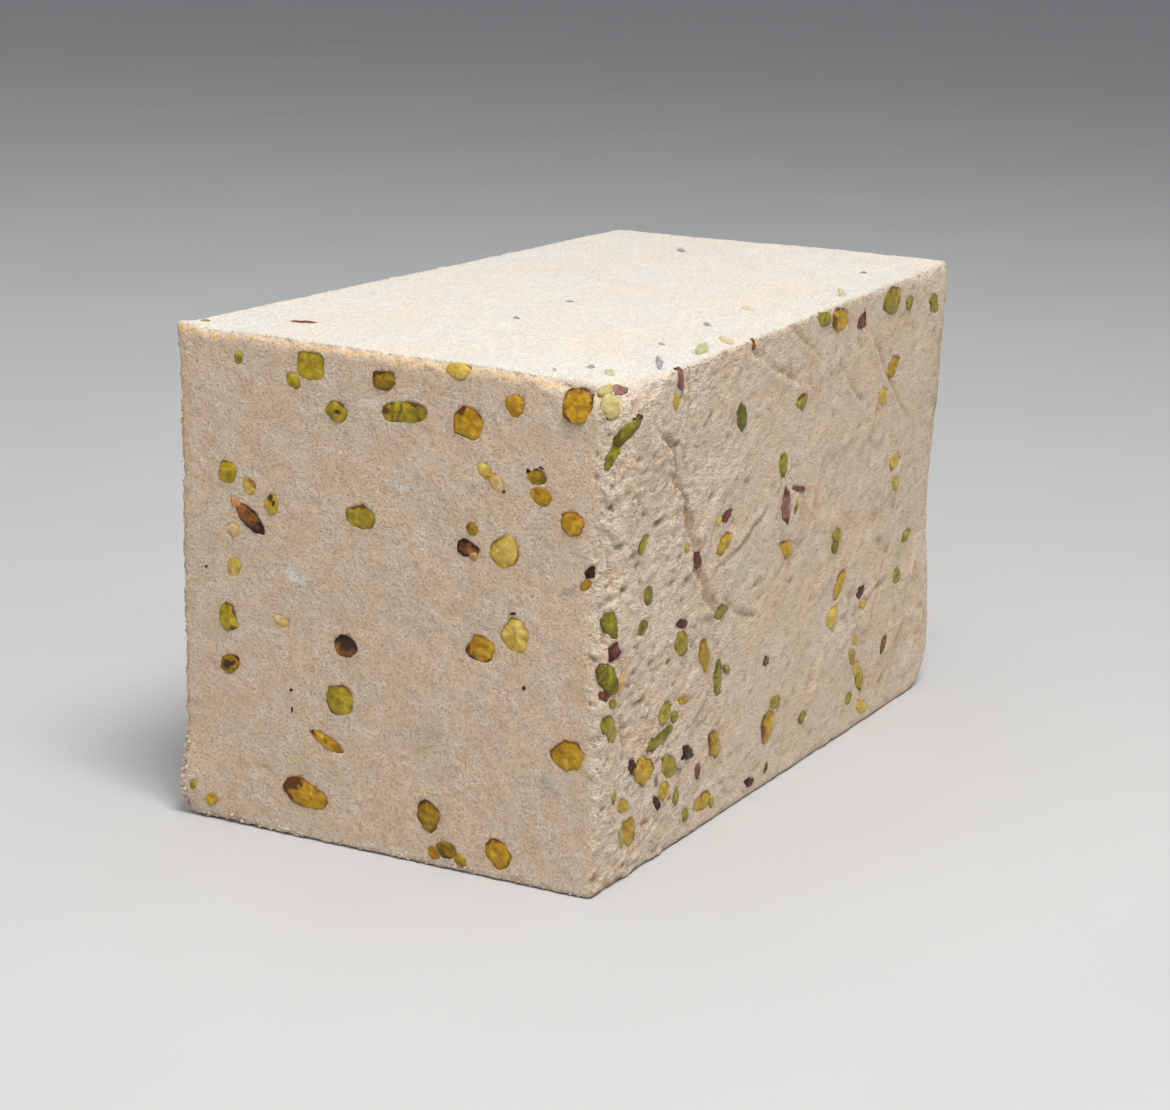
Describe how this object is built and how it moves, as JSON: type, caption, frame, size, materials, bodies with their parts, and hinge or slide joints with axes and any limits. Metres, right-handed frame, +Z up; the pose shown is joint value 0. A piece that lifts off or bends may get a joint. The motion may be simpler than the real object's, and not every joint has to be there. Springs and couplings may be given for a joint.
{
  "type": "sesame halva block",
  "caption": "Rectangular block of pale sesame halva with pistachios set in its cut end and sides, resting on its flat base.",
  "frame": {"origin": "middle of the base, on the surface that the block rests on", "axes": "+Z up, +Y along the block's length away from the cut end, +X towards the broad side that shows"},
  "size_m": [0.1055, 0.1962, 0.1106],
  "materials": {
    "halva": "matte, fine crumb",
    "green_nut": "satin, cut kernel",
    "olive_nut": "satin, cut kernel",
    "golden_nut": "satin, cut kernel",
    "pale_nut": "satin, cut kernel",
    "brown_nut": "satin, papery skin"
  },
  "bodies": {
    "root": {"halva_block": "halva", "cut_nut_01": "green_nut", "cut_nut_02": "olive_nut", "cut_nut_03": "green_nut", "cut_nut_04": "golden_nut", "cut_nut_05": "golden_nut", "cut_nut_06": "green_nut", "cut_nut_07": "green_nut", "cut_nut_08": "brown_nut", "cut_nut_09": "green_nut", "cut_nut_10": "pale_nut", "cut_nut_11": "golden_nut", "cut_nut_12": "brown_nut", "cut_nut_13": "pale_nut", "cut_nut_14": "golden_nut", "cut_nut_15": "green_nut", "cut_nut_16": "brown_nut", "cut_nut_17": "olive_nut", "cut_nut_18": "green_nut", "cut_nut_19": "golden_nut", "cut_nut_20": "golden_nut", "cut_nut_21": "olive_nut", "cut_nut_22": "olive_nut", "cut_nut_23": "golden_nut", "cut_nut_24": "golden_nut", "cut_nut_25": "pale_nut", "side_nut_01": "green_nut", "side_nut_02": "green_nut", "side_nut_03": "olive_nut", "side_nut_04": "green_nut", "side_nut_05": "olive_nut", "side_nut_06": "green_nut", "side_nut_07": "olive_nut", "side_nut_08": "golden_nut", "side_nut_09": "golden_nut", "side_nut_10": "golden_nut", "side_nut_11": "brown_nut", "side_nut_12": "olive_nut", "side_nut_13": "golden_nut", "side_nut_14": "olive_nut", "side_nut_15": "olive_nut", "side_nut_16": "golden_nut", "side_nut_17": "golden_nut", "side_nut_18": "olive_nut", "side_nut_19": "golden_nut", "side_nut_20": "golden_nut", "side_nut_21": "olive_nut", "side_nut_22": "brown_nut", "side_nut_23": "olive_nut", "far_nut_01": "golden_nut", "far_nut_02": "green_nut", "far_nut_03": "olive_nut", "far_nut_04": "golden_nut", "far_nut_05": "green_nut", "left_nut_01": "green_nut", "left_nut_02": "golden_nut", "left_nut_03": "olive_nut", "left_nut_04": "golden_nut", "left_nut_05": "green_nut", "left_nut_06": "brown_nut"}
  },
  "joints": []
}
